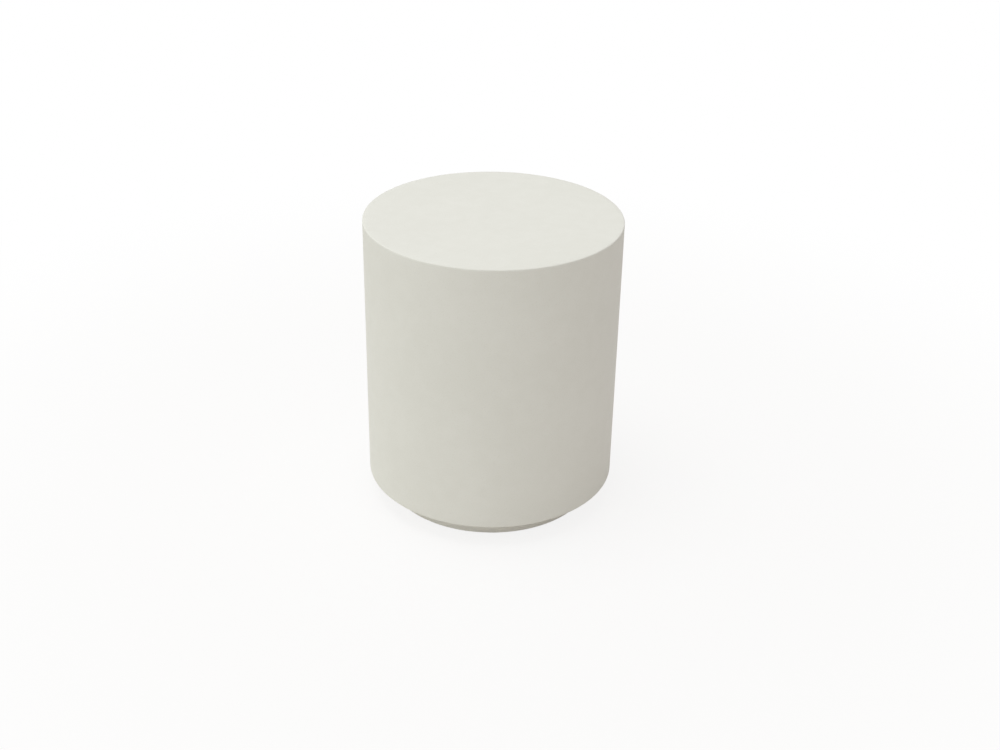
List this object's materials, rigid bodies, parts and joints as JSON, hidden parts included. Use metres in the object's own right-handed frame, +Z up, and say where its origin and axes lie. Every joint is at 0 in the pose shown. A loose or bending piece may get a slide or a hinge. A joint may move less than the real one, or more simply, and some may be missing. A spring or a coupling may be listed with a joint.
{
  "type": "side table",
  "caption": "Round drum side table of hollow cast concrete with a flat top, standing on a recessed plinth with hidden levelling feet and felt strips.",
  "frame": {"origin": "on the floor under the middle of the table", "axes": "+Z up along the drum's axis, -Y towards the viewer of the picture, +X to the right"},
  "size_m": [0.432, 0.4319, 0.508],
  "materials": {
    "concrete": "matt",
    "plywood": "bare",
    "sealant": "satin",
    "brass": "machined",
    "zinc_steel": "zinc plated",
    "nylon": "matt",
    "felt": "pressed"
  },
  "bodies": {
    "table": {"drum_shell": "concrete", "plinth_ring": "concrete", "base_panel": "plywood", "edge_seal": "sealant", "shell_insert_1": "brass", "shell_insert_2": "brass", "shell_insert_3": "brass", "shell_insert_4": "brass", "shell_insert_5": "brass", "shell_insert_6": "brass", "shell_washer_1": "zinc_steel", "shell_washer_2": "zinc_steel", "shell_washer_3": "zinc_steel", "shell_washer_4": "zinc_steel", "shell_washer_5": "zinc_steel", "shell_washer_6": "zinc_steel", "shell_screw_1": "zinc_steel", "shell_screw_2": "zinc_steel", "shell_screw_3": "zinc_steel", "shell_screw_4": "zinc_steel", "shell_screw_5": "zinc_steel", "shell_screw_6": "zinc_steel", "plinth_insert_1": "brass", "plinth_insert_2": "brass", "plinth_insert_3": "brass", "plinth_insert_4": "brass", "plinth_washer_1": "zinc_steel", "plinth_washer_2": "zinc_steel", "plinth_washer_3": "zinc_steel", "plinth_washer_4": "zinc_steel", "plinth_screw_1": "zinc_steel", "plinth_screw_2": "zinc_steel", "plinth_screw_3": "zinc_steel", "plinth_screw_4": "zinc_steel", "leveller_insert_1": "brass", "leveller_insert_2": "brass", "leveller_insert_3": "brass", "leveller_insert_4": "brass", "felt_strip_1": "felt", "felt_strip_2": "felt", "felt_strip_3": "felt", "felt_strip_4": "felt"},
    "leveller_foot_1": {"leveller_foot_1": "nylon"},
    "leveller_stem_1": {"leveller_stem_1": "zinc_steel"},
    "leveller_foot_2": {"leveller_foot_2": "nylon"},
    "leveller_stem_2": {"leveller_stem_2": "zinc_steel"},
    "leveller_foot_3": {"leveller_foot_3": "nylon"},
    "leveller_stem_3": {"leveller_stem_3": "zinc_steel"},
    "leveller_foot_4": {"leveller_foot_4": "nylon"},
    "leveller_stem_4": {"leveller_stem_4": "zinc_steel"}
  },
  "joints": [
    {"name": "leveller_1_travel", "type": "slide", "parent": "table", "child": "leveller_foot_1", "axis": [0, 0, -1], "range_m": [0, 0.012]},
    {"name": "leveller_1_turn", "type": "hinge", "parent": "leveller_foot_1", "child": "leveller_stem_1", "pos_m": [0.10819, 0.10819, 0.0043], "axis": [0, 0, -1], "range_deg": [0, 3456.5]},
    {"name": "leveller_2_travel", "type": "slide", "parent": "table", "child": "leveller_foot_2", "axis": [0, 0, -1], "range_m": [0, 0.012]},
    {"name": "leveller_2_turn", "type": "hinge", "parent": "leveller_foot_2", "child": "leveller_stem_2", "pos_m": [-0.10819, 0.10819, 0.0043], "axis": [0, 0, -1], "range_deg": [0, 3456.5]},
    {"name": "leveller_3_travel", "type": "slide", "parent": "table", "child": "leveller_foot_3", "axis": [0, 0, -1], "range_m": [0, 0.012]},
    {"name": "leveller_3_turn", "type": "hinge", "parent": "leveller_foot_3", "child": "leveller_stem_3", "pos_m": [-0.10819, -0.10819, 0.0043], "axis": [0, 0, -1], "range_deg": [0, 3456.5]},
    {"name": "leveller_4_travel", "type": "slide", "parent": "table", "child": "leveller_foot_4", "axis": [0, 0, -1], "range_m": [0, 0.012]},
    {"name": "leveller_4_turn", "type": "hinge", "parent": "leveller_foot_4", "child": "leveller_stem_4", "pos_m": [0.10819, -0.10819, 0.0043], "axis": [0, 0, -1], "range_deg": [0, 3456.5]}
  ],
  "couplings": [
    {"joint": "leveller_1_turn", "follows": "leveller_1_travel", "rad_per_m": 5026.5},
    {"joint": "leveller_2_turn", "follows": "leveller_2_travel", "rad_per_m": 5026.5},
    {"joint": "leveller_3_turn", "follows": "leveller_3_travel", "rad_per_m": 5026.5},
    {"joint": "leveller_4_turn", "follows": "leveller_4_travel", "rad_per_m": 5026.5}
  ]
}
